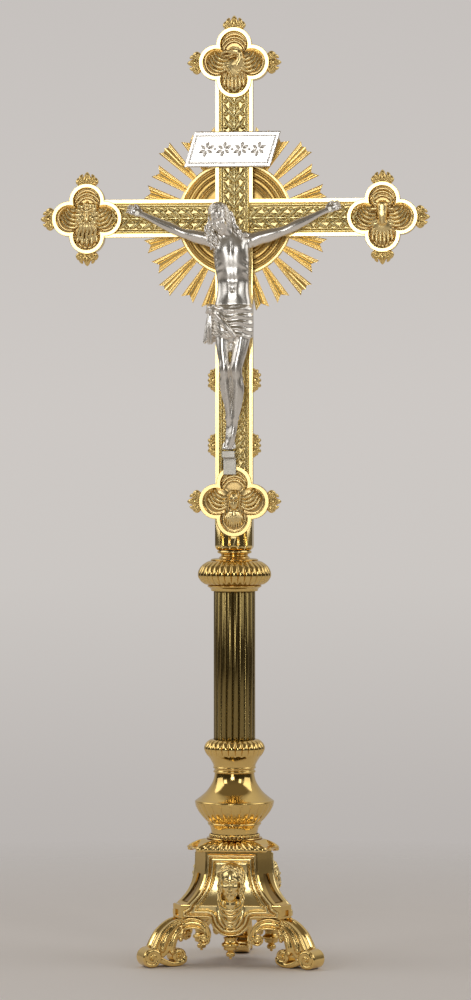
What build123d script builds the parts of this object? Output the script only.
from build123d import *

# Standing altar cross: a cast and turned brass stand on three scroll legs, and a brass crucifix with
# a silvered figure that draws up out of the stand. Millimetres. +Z is up, the front faces -Y, and the
# origin is on the altar top, under the axis of the stem.

import os
from math import cos, radians, sin, sqrt

# ---- driving dimensions -------------------------------------------------------------------------
TOTAL_HEIGHT = 762.0  # altar top to the tip of the top crocket
CROSS_WIDTH = 30.0  # width of the shaft and of the arms
ARM_REACH = 119.3  # stem axis to the centre of an arm's medallion
CROSSING_Z = 598.5
TOP_MEDALLION_Z = 723.4
LOWER_MEDALLION_Z = 370.5

BORDER = 2.8  # polished border along the cross
FIELD_DEPTH = 3.0  # from the border's front down to the field
CROSS_FRONT, CROSS_MID, CROSS_BACK = -4.5, 0.0, 4.5  # y of the border's front, the joint, the back

LOBE = 14.2  # radius of a medallion's lobes, and how far they stand from its centre
MEDALLION_RIM = 3.6
MEDALLION_FRONT = -6.0
MEDALLION_FLOOR = -1.6
CROCKET_REACH = TOTAL_HEIGHT - TOP_MEDALLION_Z  # medallion centre to a crocket's tip
CROCKET_WIDTH, CROCKET_THICK = 18.0, 5.0

COLUMN_R, COLUMN_BORE, REEDS = 16.75, 12.6, 20
ROD_R, ROD_HOLE = 4.0, 4.3
SPIGOT_R, SPIGOT_CLEARANCE = 5.0, 0.05

# heights of the stand's joints, from the altar top up
PLINTH_Z, PLINTH_TOP, BODY_TOP = 38.0, 49.0, 91.0
CAP_TOP, RING_TOP, BALUSTER_TOP = 99.5, 102.0, 161.0
COLUMN_Z, COLUMN_TOP, KNOP_TOP, FERRULE_Z, FERRULE_TOP = 178.5, 298.4, 325.0, 331.0, 356.0

# plan of the base, a triangle with cut corners: (distance to a face, distance to a corner's flat)
PLAN_TOP, PLAN_FLARE, PLAN_PLINTH, PLAN_EAVE = (23.5, 29.8), (31.2, 46.2), (31.8, 50.5), (27.1, 38.7)
FLARE_POWER = 3.5
WALL = 2.5
PANEL_THICK = 2.0
FACE_ANGLES = {"front": 0, "right": 120, "left": 240}
LEG_ANGLES = {"right": -30, "back": 90, "left": 210}
LEG_WIDTH, FOOT_ROLL, FOOT_REACH = 16.0, 8.0, 74.6
FOOT_FLAT = 0.2  # how much of the roll is filed away where it stands

GLORY_R, RAY_REACH, LONG_RAY_REACH = 46.7, 76.5, 82.0
RAY_STEP, RAYS_EACH_SIDE = 14.0, 2  # rays about the middle of each quarter, in degrees
LIFT = 35.0  # how far the crucifix draws up to clear its socket

parts = {}


# ---- helpers ------------------------------------------------------------------------------------
def face_of(points):
    return make_face(Polyline(*points, close=True))


def slab(sketch, front, back):
    """A sketch drawn in X and Z, as a plate from y = front to y = back."""
    return extrude(Plane.XZ.offset(-back) * sketch, amount=back - front, dir=(0, -1, 0))


def turned(points, x=0.0, y=0.0):
    """A solid turned about Z from (radius, z) points."""
    return Pos(x, y, 0) * revolve(Plane.XZ * face_of(points), axis=Axis.Z)


def bar(start, end, start_r, end_r):
    """A round bar between two points, tapered from one radius to the other."""
    run = Vector(*end) - Vector(*start)
    low = (Align.CENTER, Align.CENTER, Align.MIN)
    place = Plane(origin=start, z_dir=run)
    if abs(start_r - end_r) < 1e-6:
        return place * Cylinder(start_r, run.length, align=low)
    return place * Cone(start_r, end_r, run.length, align=low)


def ball(centre, radius):
    return Pos(*centre) * Sphere(radius)


def pin(x, z, front, back, radius):
    """A pin along Y."""
    return bar((x, front, z), (x, back, z), radius, radius)


def quatrefoil(radius, x, z):
    """Four lobes about (x, z), with their centres LOBE away from it."""
    sketch = Rectangle(1.15 * LOBE, 1.15 * LOBE)
    for across, up in ((1, 0), (-1, 0), (0, 1), (0, -1)):
        sketch += Pos(across * LOBE, up * LOBE) * Circle(radius)
    return Pos(x, z) * sketch


def base_plan(face, corner):
    """Corners of the base's plan, from the distance to a face and to a corner's flat."""
    half = (2 * corner - face) / sqrt(3)
    points = []
    for turn in (0, 120, 240):
        c, s = cos(radians(turn)), sin(radians(turn))
        for x in (-half, half):
            points.append((x * c + face * s, x * s - face * c))
    return points


def plan_at(z):
    """(distance to a face, distance to a corner's flat) of the body at a height."""
    if z < PLINTH_TOP:
        return PLAN_PLINTH
    share = (1 - (z - PLINTH_TOP) / (BODY_TOP - PLINTH_TOP)) ** FLARE_POWER
    return tuple(top + (flare - top) * share for top, flare in zip(PLAN_TOP, PLAN_FLARE))


def half_face(z):
    face, corner = plan_at(z)
    return (2 * corner - face) / sqrt(3)


def tower(sections):
    """A solid through plan sections (z, face, corner), straight from each to the next."""
    faces = [Pos(0, 0, z) * face_of(base_plan(face, corner)) for z, face, corner in sections]
    return loft(faces, ruled=True)


FLARE_STEPS = [PLINTH_TOP + rise for rise in (0.0, 2.5, 5.5, 9.0, 14.0, 21.0, 30.0, 42.0)]


# ---- the stand's base ---------------------------------------------------------------------------
def base_body():
    """Hollow three-sided casting, open below, with a floor at the top for the tie rod."""
    plinth = tower([(PLINTH_Z, *PLAN_PLINTH), (PLINTH_TOP, *PLAN_PLINTH)])
    flare = tower([(z, *plan_at(z)) for z in FLARE_STEPS])
    inner_steps = [z for z in FLARE_STEPS if z < BODY_TOP - 3] + [BODY_TOP - 3]
    hollow = tower([(z, *(d - WALL for d in plan_at(z))) for z in inner_steps])
    low = [d - WALL for d in plan_at(PLINTH_TOP)]
    hollow += tower([(PLINTH_Z - 1, *low), (PLINTH_TOP, *low)])
    return plinth + flare - hollow - bar((0, 0, BODY_TOP - 5), (0, 0, BODY_TOP + 1), ROD_HOLE, ROD_HOLE)


def base_cap():
    """Roof-like cover with eaves at the three corners."""
    roof = tower([(BODY_TOP, *PLAN_EAVE), (BODY_TOP + 2.5, *PLAN_EAVE)])
    roof += tower([(BODY_TOP + 2.5, *PLAN_EAVE), (BODY_TOP + 5.0, 23.0, 30.0), (CAP_TOP, 20.0, 23.0)])
    return roof - bar((0, 0, BODY_TOP - 1), (0, 0, CAP_TOP + 1), ROD_HOLE, ROD_HOLE)


PANEL_TOP, PANEL_LOW, LOBE_LOW, LOBE_R, PANEL_SIDE = 89.0, 39.0, 24.0, 17.0, 3.3


def panel_band(depth):
    """Everything from a base face out to depth in front of it, across the front of the base."""
    edge = [(-PLAN_PLINTH[0], LOBE_LOW - 1), (-PLAN_PLINTH[0], PLINTH_TOP)]
    edge += [(-plan_at(z)[0], z) for z in FLARE_STEPS]
    profile = Plane.YZ * face_of([(y - depth, z) for y, z in edge] + edge[::-1])
    return extrude(profile, amount=60, both=True)


def face_panel():
    """Cast plaque for one face: framed field with a hanging lobe, and a boss for the bust."""
    side = [(half_face(z) - PANEL_SIDE, z) for z in reversed(FLARE_STEPS[:-1])]
    half = [(half_face(PANEL_TOP) - PANEL_SIDE, PANEL_TOP)] + side
    half += [(half_face(PLINTH_Z) - 1.5, PLINTH_TOP - 3), (half_face(PLINTH_Z) - 1.5, PANEL_LOW)]
    outline = face_of(half + [(-x, z) for x, z in reversed(half)])
    centre = LOBE_LOW + LOBE_R
    outline += Pos(0, centre) * Circle(LOBE_R)
    plate = panel_band(PANEL_THICK) & slab(outline, -60, 0)
    head = ball((0, -plan_at(72)[0] + 5.5, 73), 11.0) + ball((0, -plan_at(58)[0] + 9.5, 56), 14.0)
    return plate + (head & panel_band(20))


def scroll_brackets():
    """The pair of C-scrolls under one face, between the legs and the hanging lobe."""
    front = -PLAN_PLINTH[0] - PANEL_THICK
    curl, outer, inner = (-24.8, PLINTH_Z - 10.4), 10.4, 4.6
    ring = Pos(*curl) * (Circle(outer) - Circle(inner))
    ring -= Pos(curl[0] - outer, curl[1]) * Rectangle(2 * outer, 3 * outer)
    band = Pos(-29.7, curl[1] + (outer + inner) / 2) * Rectangle(9.8, outer - inner)
    eye = Pos(-20.6, 22.0) * Circle(4.8)
    scroll = slab(ring + band + eye, front, front + 4.5)
    return [scroll, mirror(scroll, Plane.YZ)]


def leg():
    """Scroll leg drawn in the radial plane: an arched back, a rolled foot and an inner scroll."""
    foot = (FOOT_REACH, FOOT_ROLL - FOOT_FLAT)
    back = Spline((50.5, 38.0), (58.5, 35.4), (66.8, 28.8), (70.8, 22.6), (73.0, 15.0))
    belly = Spline((67.5, 6.0), (62.0, 8.5), (57.5, 14.0), (50.5, 21.5), (47.0, 30.5), (41.5, 38.0))
    outline = make_face([back, Line(back @ 1, belly @ 0), belly, Line(belly @ 1, back @ 0)])
    shoe = Spline((51.0, 20.0), (54.0, 15.0), (58.0, 11.0), (65.0, 9.0))
    sole = Spline((65.0, 5.5), (58.0, 3.0), (50.0, 2.2), (45.5, 6.5))
    outline += make_face([shoe, Line(shoe @ 1, sole @ 0), sole, Line(sole @ 1, shoe @ 0)])
    outline += Pos(50.0, 8.2) * Circle(6.0) + Pos(*foot) * Circle(FOOT_ROLL)
    outline -= Pos(FOOT_REACH, -5) * Rectangle(100, 10)
    solid = slab(outline, -LEG_WIDTH / 2, LEG_WIDTH / 2)
    return solid - leg_bolt()


def leg_bolt():
    """The bolt that comes up through a leg's top into the plinth's corner, with its head below."""
    shank = bar((46.5, 0, PLINTH_Z - 4.5), (46.5, 0, PLINTH_Z + 8), 1.6, 1.6)
    return shank + bar((46.5, 0, PLINTH_Z - 9.0), (46.5, 0, PLINTH_Z - 4.5), 2.8, 2.8)


def corner_lug():
    """Boss inside the plinth's corner that a leg's bolt screws into."""
    return bar((46.5, 0, PLINTH_Z), (46.5, 0, PLINTH_Z + 9), 3.4, 3.4)


def pendant():
    """Turned drop under a face's lobe."""
    y = -PLAN_PLINTH[0] - PANEL_THICK / 2
    profile = [(0, LOBE_LOW), (5.3, LOBE_LOW), (5.0, 21.5), (5.6, 19.8), (7.2, 18.9), (7.2, 17.0)]
    profile += [(5.8, 16.4), (5.3, 15.6), (5.3, 14.2), (3.2, 13.2), (2.6, 12.4), (3.4, 11.6)]
    profile += [(3.6, 10.2), (3.2, 8.9), (1.2, 8.2), (1.2, 7.2), (0, 6.6)]
    return turned(profile, 0, y)


def panel_screws():
    """Two screws that hold a plaque from inside the body."""
    found = []
    for x in (-9, 9):
        shank = pin(x, 84.0, -plan_at(84)[0] - 1.2, -plan_at(84)[0] + 4.0, 1.2)
        head = pin(x, 84.0, -plan_at(84)[0] + 4.0, -plan_at(84)[0] + 6.0, 2.4)
        found.append(shank + head)
    return found


def make_base():
    screws = panel_screws()
    all_screws = [Rot(0, 0, turn) * screw for turn in FACE_ANGLES.values() for screw in screws]
    lugs = [Rot(0, 0, turn) * corner_lug() for turn in LEG_ANGLES.values()]
    bolts = [Rot(0, 0, turn) * leg_bolt() for turn in LEG_ANGLES.values()]
    body = base_body()
    for lug in lugs:
        body += lug
    for hole in all_screws + bolts:
        body -= hole
    parts["base_body"] = body
    parts["base_cap"] = base_cap()
    parts["panel_screws"] = Compound(all_screws)
    parts["leg_bolts"] = Compound(bolts)
    panel, brackets, drop = face_panel(), scroll_brackets(), pendant()
    for screw in screws:
        panel -= screw
    for name, turn in FACE_ANGLES.items():
        parts[f"face_panel_{name}"] = Rot(0, 0, turn) * panel
        parts[f"scroll_brackets_{name}"] = Compound([Rot(0, 0, turn) * b for b in brackets])
        parts[f"pendant_{name}"] = Rot(0, 0, turn) * drop
    one_leg = leg()
    for name, turn in LEG_ANGLES.items():
        parts[f"leg_{name}"] = Rot(0, 0, turn) * one_leg


# ---- the stem -----------------------------------------------------------------------------------
def cap_ring():
    profile = [(ROD_HOLE, CAP_TOP), (21.5, CAP_TOP), (21.5, CAP_TOP + 1.1), (18.4, RING_TOP)]
    return turned(profile + [(ROD_HOLE, RING_TOP)])


def baluster():
    """Turned vase, hollow, with a sharp shoulder and ringed necks."""
    outer = [(17.6, RING_TOP), (18.4, 105.0), (19.0, 109.5), (21.2, 111.2), (21.4, 112.6), (23.4, 115.8)]
    outer += [(28.6, 121.5), (31.2, 126.5), (31.9, 129.6), (27.6, 132.4), (23.0, 135.6), (19.2, 139.6)]
    outer += [(16.8, 144.0), (15.4, 149.6), (15.5, 153.4), (16.4, 154.8), (16.4, 157.0), (15.8, 158.2)]
    outer += [(16.6, 159.4), (16.9, BALUSTER_TOP)]
    inner = [(ROD_HOLE, BALUSTER_TOP), (ROD_HOLE, 150.0), (11.0, 144.0), (16.0, 136.0), (24.0, 129.5)]
    inner += [(16.0, 117.0), (13.5, 107.0), (ROD_HOLE, 105.5), (ROD_HOLE, RING_TOP)]
    return turned(outer + inner)


def lower_knop():
    """Gadrooned cup that the column stands in."""
    outer = [(16.9, BALUSTER_TOP), (18.8, 163.2), (20.8, 165.4), (23.2, 168.2), (24.0, 170.8), (23.6, 174.0)]
    outer += [(21.4, 177.4), (18.6, 179.4), (COLUMN_R + 0.2, 179.4), (COLUMN_R + 0.2, COLUMN_Z)]
    return turned(outer + [(ROD_HOLE, COLUMN_Z), (ROD_HOLE, BALUSTER_TOP)])


def column_tube():
    """Reeded tube: half-round reeds side by side all the way round."""
    seat = COLUMN_R - 2.15
    section = Circle(seat + 0.7)
    for k in range(REEDS):
        turn = radians(360 / REEDS * k)
        section += Pos(seat * cos(turn), seat * sin(turn)) * Circle(2.15)
    section -= Circle(COLUMN_BORE)
    return Pos(0, 0, COLUMN_Z) * extrude(section, amount=COLUMN_TOP - COLUMN_Z)


def column_plug(z):
    """Disc that centres the tie rod in the column."""
    return turned([(ROD_HOLE, z), (COLUMN_BORE, z), (COLUMN_BORE, z + 6), (ROD_HOLE, z + 6)])


BUSH_R, BUSH_Z, SOCKET_Z = 9.0, 284.0, 300.0


def socket_bush():
    """Turned bush: the tie rod screws in below, and the crucifix's spigot drops in from above."""
    bore = SPIGOT_R + SPIGOT_CLEARANCE
    profile = [(ROD_R, BUSH_Z), (BUSH_R, BUSH_Z), (BUSH_R, KNOP_TOP), (bore, KNOP_TOP)]
    return turned(profile + [(bore, SOCKET_Z), (ROD_R, SOCKET_Z)])


def upper_knop():
    """Gadrooned knop with a moulded foot, hollow round the bush."""
    outer = [(18.8, COLUMN_TOP), (20.6, 300.4), (21.4, 302.2), (23.6, 303.6), (27.6, 306.8), (29.4, 309.8)]
    outer += [(29.6, 312.4), (28.2, 316.4), (25.2, 319.8), (22.6, 321.6), (19.6, 322.4), (14.0, KNOP_TOP)]
    inner = [(BUSH_R, KNOP_TOP), (BUSH_R, 321.5), (19.0, 318.5), (24.6, 314.0), (25.2, 310.0), (18.0, 303.0)]
    inner += [(12.4, 301.0), (12.4, COLUMN_TOP)]
    return turned(outer + inner)


def neck_ring():
    """Moulded collar on the knop that the crucifix's ferrule stands on."""
    bore = SPIGOT_R + SPIGOT_CLEARANCE
    profile = [(bore, KNOP_TOP), (12.6, KNOP_TOP), (10.8, 327.0), (11.2, 328.2), (13.6, 329.2)]
    return turned(profile + [(13.9, FERRULE_Z), (bore, FERRULE_Z)])


def tie_rod():
    return bar((0, 0, 76), (0, 0, SOCKET_Z - 0.5), ROD_R, ROD_R)


def tie_washer():
    low, high = BODY_TOP - 5, BODY_TOP - 3
    return turned([(ROD_HOLE, low), (13, low), (13, high), (ROD_HOLE, high)])


def tie_nut():
    low = BODY_TOP - 11
    nut = Pos(0, 0, low) * extrude(RegularPolygon(7.5, 6), amount=6)
    return nut - bar((0, 0, low - 1), (0, 0, low + 7), ROD_R, ROD_R)


def make_stem():
    for piece in (cap_ring, baluster, lower_knop, column_tube, socket_bush, upper_knop, neck_ring):
        parts[piece.__name__] = piece()
    for piece in (tie_rod, tie_washer, tie_nut):
        parts[piece.__name__] = piece()
    parts["column_plug_lower"] = column_plug(COLUMN_Z + 2)
    parts["column_plug_upper"] = column_plug(BUSH_Z - 8)


# ---- the cross ----------------------------------------------------------------------------------
MEDALLIONS = {
    "top": (0.0, TOP_MEDALLION_Z, "eagle", (90, 0, 180)),
    "left": (-ARM_REACH, CROSSING_Z, "lion", (90, 180, 270)),
    "right": (ARM_REACH, CROSSING_Z, "ox", (90, 0, 270)),
    "bottom": (0.0, LOWER_MEDALLION_Z, "angel", (0, 180)),
}
SHAFT_LOW = FERRULE_TOP
TITLE_Z, TITLE_X, TITLE_WIDTH, TITLE_HEIGHT, TITLE_SLANT = 653.4, -1.0, 69.5, 28.6, 8.7
TITLE_FRONT, TITLE_BACK = -8.0, -6.5
HAND_PINS = ((-77.5, 602.3), (77.5, 604.6))
FOOT_PIN = (-2.0, 424.0)


def cross_outline(width):
    """The shaft and arms, without medallions, width across."""
    top, low = TOP_MEDALLION_Z, SHAFT_LOW
    shaft = Pos(0, (top + low) / 2) * Rectangle(width, top - low)
    return shaft + Pos(0, CROSSING_Z) * Rectangle(2 * ARM_REACH, width)


def medallion_outlines(radius):
    """All four medallions as one sketch."""
    sketch = None
    for x, z, _, _ in MEDALLIONS.values():
        foil = quatrefoil(radius, x, z)
        sketch = foil if sketch is None else sketch + foil
    return sketch


def cross_frame():
    """Back plate with quatrefoil ends, and a raised border round the fields of shaft and arms."""
    frame = slab(cross_outline(CROSS_WIDTH) + medallion_outlines(LOBE), CROSS_MID, CROSS_BACK)
    front = cross_outline(CROSS_WIDTH) - medallion_outlines(LOBE)
    frame += slab(front, CROSS_FRONT, CROSS_MID)
    channel = cross_outline(CROSS_WIDTH - 2 * BORDER) - medallion_outlines(LOBE)
    frame -= slab(channel, CROSS_FRONT - 1, CROSS_FRONT + FIELD_DEPTH)
    return frame + slab(Pos(0, SHAFT_LOW - 7) * Rectangle(16, 18), CROSS_MID, CROSS_BACK)


def foliage_strips():
    """The four cast leaf strips that lie in the cross's fields."""
    width = CROSS_WIDTH - 2 * BORDER
    half = width / 2
    gap = medallion_outlines(LOBE)
    whole = cross_outline(width) - gap
    middle = CROSSING_Z - half
    areas = {
        "foliage_upper": Pos(0, middle + 100) * Rectangle(width, 200),
        "foliage_lower": Pos(0, middle - 150) * Rectangle(width, 300),
        "foliage_left": Pos(-half - 60, CROSSING_Z) * Rectangle(120, width),
        "foliage_right": Pos(half + 60, CROSSING_Z) * Rectangle(120, width),
    }
    back = CROSS_FRONT + FIELD_DEPTH
    return {name: slab(whole & area, back - 2.0, back) for name, area in areas.items()}


def medallion_frame(x, z):
    """Quatrefoil dish with a raised rim, on the front of the cross."""
    rim = slab(quatrefoil(LOBE, x, z), MEDALLION_FRONT, CROSS_MID)
    return rim - slab(quatrefoil(LOBE - MEDALLION_RIM, x, z), MEDALLION_FRONT - 1, MEDALLION_FLOOR)


def medallion_relief(x, z):
    """Plate for the dish's floor, with the mass of a winged creature standing off it."""
    plate = slab(quatrefoil(LOBE - MEDALLION_RIM, x, z), MEDALLION_FLOOR - 1.2, MEDALLION_FLOOR)
    mass = ball((x, 3.2, z), 10.0) & slab(Pos(x, z) * Circle(9.5), -9, MEDALLION_FLOOR - 1.0)
    return plate + mass


def crocket():
    """Leaf bud on the rim of a medallion that points up, with its stalk inside the rim."""
    half, low = CROCKET_WIDTH / 2, 2 * LOBE - 1.8
    points = [(-half, low - 1.4), (half, low - 1.4), (half - 0.6, low + 4.0), (half - 3.6, low + 6.0)]
    points += [(2.2, CROCKET_REACH - 1.2), (0, CROCKET_REACH), (-2.2, CROCKET_REACH - 1.2)]
    points += [(-half + 3.6, low + 6.0), (-half + 0.6, low + 4.0)]
    bud = slab(face_of(points), -CROCKET_THICK / 2, CROCKET_THICK / 2)
    return bud - slab(quatrefoil(LOBE, 0, 0), -10, 10)


def crockets_at(x, z, turns):
    one = crocket()
    return Compound([Pos(x, 0, z) * Rot(0, 90 - turn, 0) * one for turn in turns])


SHAFT_CROCKETS = (468.0, 415.5)


def shaft_crockets(side):
    """Two leaves on one edge of the shaft's lower part."""
    edge = CROSS_WIDTH / 2
    outline = face_of([(edge, -10.5), (edge + 3.4, -10.5), (edge + 5.2, -5), (edge + 7.5, 0),
                       (edge + 6.4, 5), (edge + 4.6, 11.5), (edge, 11.5)])
    leaf = slab(outline, -3, 3)
    found = [Pos(0, 0, z) * leaf for z in SHAFT_CROCKETS]
    return Compound(found if side > 0 else [mirror(one, Plane.YZ) for one in found])


def ray_outline(turn):
    """One ray: widening outwards, with a swallow-tail end."""
    along = abs(turn % 90 - 45)
    reach = LONG_RAY_REACH if along < 1 else RAY_REACH
    wide = 6.4 if along < 1 else 5.4
    points = [(GLORY_R - 1.5, -2.6), (reach, -wide), (reach - 4.2, 0), (reach, wide), (GLORY_R - 1.5, 2.6)]
    return Rot(0, 0, turn) * face_of(points)


GLORY_RIM = 3.0
GLORY_BACK = CROSS_BACK + 2.4


def glory_rays():
    """Ring with rays, behind the crossing."""
    sketch = Circle(GLORY_R) - Circle(GLORY_R - GLORY_RIM)
    for quarter in (45, 135, 225, 315):
        for k in range(-RAYS_EACH_SIDE, RAYS_EACH_SIDE + 1):
            sketch += ray_outline(quarter + k * RAY_STEP)
    return slab(Pos(0, CROSSING_Z) * sketch, CROSS_BACK, GLORY_BACK)


def glory_disc():
    """Stepped disc inside the ring of rays."""
    edge = GLORY_R - GLORY_RIM
    profile = [(0, 0), (edge, 0), (edge, 1.2), (38, 1.2), (38, 2.4), (0, 2.4)]
    disc = revolve(Plane.XZ * face_of(profile), axis=Axis.Z)
    return Pos(0, GLORY_BACK, CROSSING_Z) * Rot(90, 0, 0) * disc


def title_plate():
    """Slanted plate above the crossing, with a sunk field."""
    def leaning(width, height):
        lean = TITLE_SLANT * height / TITLE_HEIGHT / 2
        x, z = width / 2 - lean, height / 2
        points = [(-x - 2 * lean, -z), (x, -z), (x + 2 * lean, z), (-x, z)]
        return Pos(TITLE_X, TITLE_Z) * face_of(points)

    plate = slab(leaning(TITLE_WIDTH, TITLE_HEIGHT), TITLE_FRONT, TITLE_BACK)
    return plate - slab(leaning(TITLE_WIDTH - 7, TITLE_HEIGHT - 6), TITLE_FRONT - 1, TITLE_FRONT + 0.4)


def title_pins():
    """Two posts that hold the title off the shaft's borders."""
    return [pin(x, TITLE_Z, TITLE_BACK, CROSS_FRONT, 1.2) for x in (-13.6, 13.6)]


# ---- the figure ---------------------------------------------------------------------------------
def trunk():
    """Chest, waist, cloth and hips as one faceted body, through (x, y, z, half width, half depth)."""
    sections = ((0.0, -15.5, 585.0, 13.0, 6.0), (0.0, -16.5, 572.0, 14.4, 8.4),
                (-0.2, -16.5, 548.0, 12.0, 7.6), (0.2, -16.5, 528.0, 14.6, 8.8),
                (0.0, -16.5, 508.0, 14.4, 8.6), (-0.6, -17.0, 497.0, 13.4, 7.6))
    corners = [(cos(radians(turn)), sin(radians(turn))) for turn in range(15, 360, 30)]
    faces = [Pos(0, 0, z) * face_of([(x + rx * c, y + ry * s) for c, s in corners])
             for x, y, z, rx, ry in sections]
    return loft(faces, ruled=True)


def limb(points):
    """Tapered bars through (x, y, z, radius) points, with a larger ball at each inner joint."""
    solid = bar(points[0][:3], points[1][:3], points[0][3], points[1][3])
    for start, end in zip(points[1:], points[2:]):
        solid += ball(start[:3], start[3] + 0.8) + bar(start[:3], end[:3], start[3], end[3])
    return solid


def corpus():
    """Plain mass of the figure: head, trunk, cloth, arms out along the cross, legs together."""
    figure = trunk() + bar((-3, -15.5, 578), (-9, -18.5, 592), 6.0, 5.4) + ball((-11.6, -20.0, 598.0), 11.6)
    left_arm = ((-10, -15, 577, 5.4), (-26, -14, 581.5, 4.4), (-46, -10.5, 590, 3.2), (-82, -7.4, 604, 2.4))
    right_arm = ((10, -15, 577, 5.4), (25, -14, 583, 4.4), (47, -10.5, 591, 3.2), (82, -7.4, 606, 2.4))
    left_leg = ((-7, -17, 502, 6.6), (-7.6, -21.5, 478, 4.8), (-1.6, -14, 434, 3.4), (-2.6, -15, 413, 4.0))
    right_leg = ((6.4, -17, 502, 7.0), (3.2, -22.5, 478, 5.0), (1.6, -15.5, 434, 3.6))
    for points in (left_arm, right_arm, left_leg, right_leg):
        figure += limb(points)
    return figure + bar((-18.0, -17, 526), (-18.8, -17, 497), 4.2, 4.8)


REST_BLOCK = (10.5, 5.5)  # width and height


def foot_rest():
    """Block under the feet on a flat tongue that is pinned to the medallion below."""
    x, top = -3.2, 411.0
    block = Pos(x, -12.9, top - REST_BLOCK[1] / 2) * Box(REST_BLOCK[0], 12.0, REST_BLOCK[1])
    tongue = slab(Pos(x, top - 9.5) * Rectangle(REST_BLOCK[0], 19), -8.0, -6.9)
    return tongue + block


def nails():
    """A nail through each hand, and one through the feet."""
    found = []
    for (x, z), front in zip((*HAND_PINS, FOOT_PIN), (-10.6, -10.6, -19.6)):
        found.append(pin(x, z, front, -2.0, 0.9) + pin(x, z, front - 0.9, front, 1.7))
    return found


# ---- the crucifix's lower end -------------------------------------------------------------------
FERRULE_DEPTH = 16.0


def ferrule():
    """Ribbed box that holds the cross's tang and stands on the neck ring."""
    height = FERRULE_TOP - FERRULE_Z
    box = Pos(0, 0, FERRULE_Z + height / 2) * Box(CROSS_WIDTH, FERRULE_DEPTH, height)
    box = fillet(box.edges().group_by(Axis.Z)[0], 3.0)
    for x in (-9.4, 9.4):
        for y in (-FERRULE_DEPTH / 2, FERRULE_DEPTH / 2):
            box -= Pos(x, y, FERRULE_Z + 15) * Box(5.2, 2.0, 17.0)
    box -= slab(quatrefoil(LOBE, 0, LOWER_MEDALLION_Z), -20, CROSS_MID)
    box -= slab(medallion_outlines(LOBE), CROSS_MID, CROSS_BACK)
    return box


def ferrule_pins():
    """Two rivets through the ferrule and the tang."""
    return [pin(x, 338.0, -FERRULE_DEPTH / 2 + 1.0, FERRULE_DEPTH / 2 - 1.0, 1.2) for x in (-3.6, 3.6)]


def spigot():
    """Round tenon under the ferrule that drops into the stand's socket."""
    return bar((0, 0, SOCKET_Z + 0.5), (0, 0, FERRULE_Z + 4), SPIGOT_R, SPIGOT_R)


def medallion_screws():
    """A screw from behind into each medallion."""
    found = []
    for x, z, _, _ in MEDALLIONS.values():
        screw = pin(x, z, CROSS_MID - 1.2, CROSS_BACK, 1.5) + pin(x, z, CROSS_BACK, CROSS_BACK + 1.8, 3.0)
        found.append(screw)
    return found


def glory_screws():
    """Four screws from behind that hold the disc to the cross."""
    found = []
    for x, z in ((-24, 0), (24, 0), (0, 24), (0, -24)):
        shank = pin(x, CROSSING_Z + z, CROSS_MID + 0.5, GLORY_BACK, 1.3)
        found.append(shank + pin(x, CROSSING_Z + z, GLORY_BACK, GLORY_BACK + 1.6, 2.6))
    return found


def make_crucifix():
    hand_nails, posts, rivets = nails(), title_pins(), ferrule_pins()
    medal_screws, disc_screws = medallion_screws(), glory_screws()
    frame, box, tenon = cross_frame(), ferrule(), spigot()
    figure, rest, disc = corpus(), foot_rest(), glory_disc()
    tang = slab(Pos(0, SHAFT_LOW - 7) * Rectangle(16, 18), CROSS_MID, CROSS_BACK)
    for hole in (*rivets, tang, tenon):
        box -= hole
    for hole in (*rivets, *medal_screws, *disc_screws, *hand_nails):
        frame -= hole
    for hole in hand_nails:
        figure -= hole
    for hole in disc_screws:
        disc -= hole
    figure -= rest
    strips = foliage_strips()
    for name, strip in strips.items():
        for hole in hand_nails:
            strip -= hole
        parts[name] = strip
    for name, (x, z, creature, turns) in MEDALLIONS.items():
        rim = medallion_frame(x, z)
        for hole in medal_screws:
            rim -= hole
        parts[f"medallion_{name}"] = rim
        parts[f"relief_{creature}"] = medallion_relief(x, z)
        parts[f"crockets_{name}"] = crockets_at(x, z, turns)
    parts["shaft_crockets_left"] = shaft_crockets(-1)
    parts["shaft_crockets_right"] = shaft_crockets(1)
    parts.update(cross_frame=frame, ferrule=box, spigot=tenon, corpus=figure, foot_rest=rest)
    parts.update(glory_disc=disc, glory_rays=glory_rays(), title_plate=title_plate())
    parts["corpus_nails"] = Compound(hand_nails)
    parts["title_pins"] = Compound(posts)
    parts["ferrule_pins"] = Compound(rivets)
    parts["medallion_screws"] = Compound(medal_screws)
    parts["glory_screws"] = Compound(disc_screws)


make_base()
make_stem()
make_crucifix()
os.makedirs("parts", exist_ok=True)
for name, shape in parts.items():
    export_step(shape, f"parts/{name}.step")
print(len(parts), "nodes")
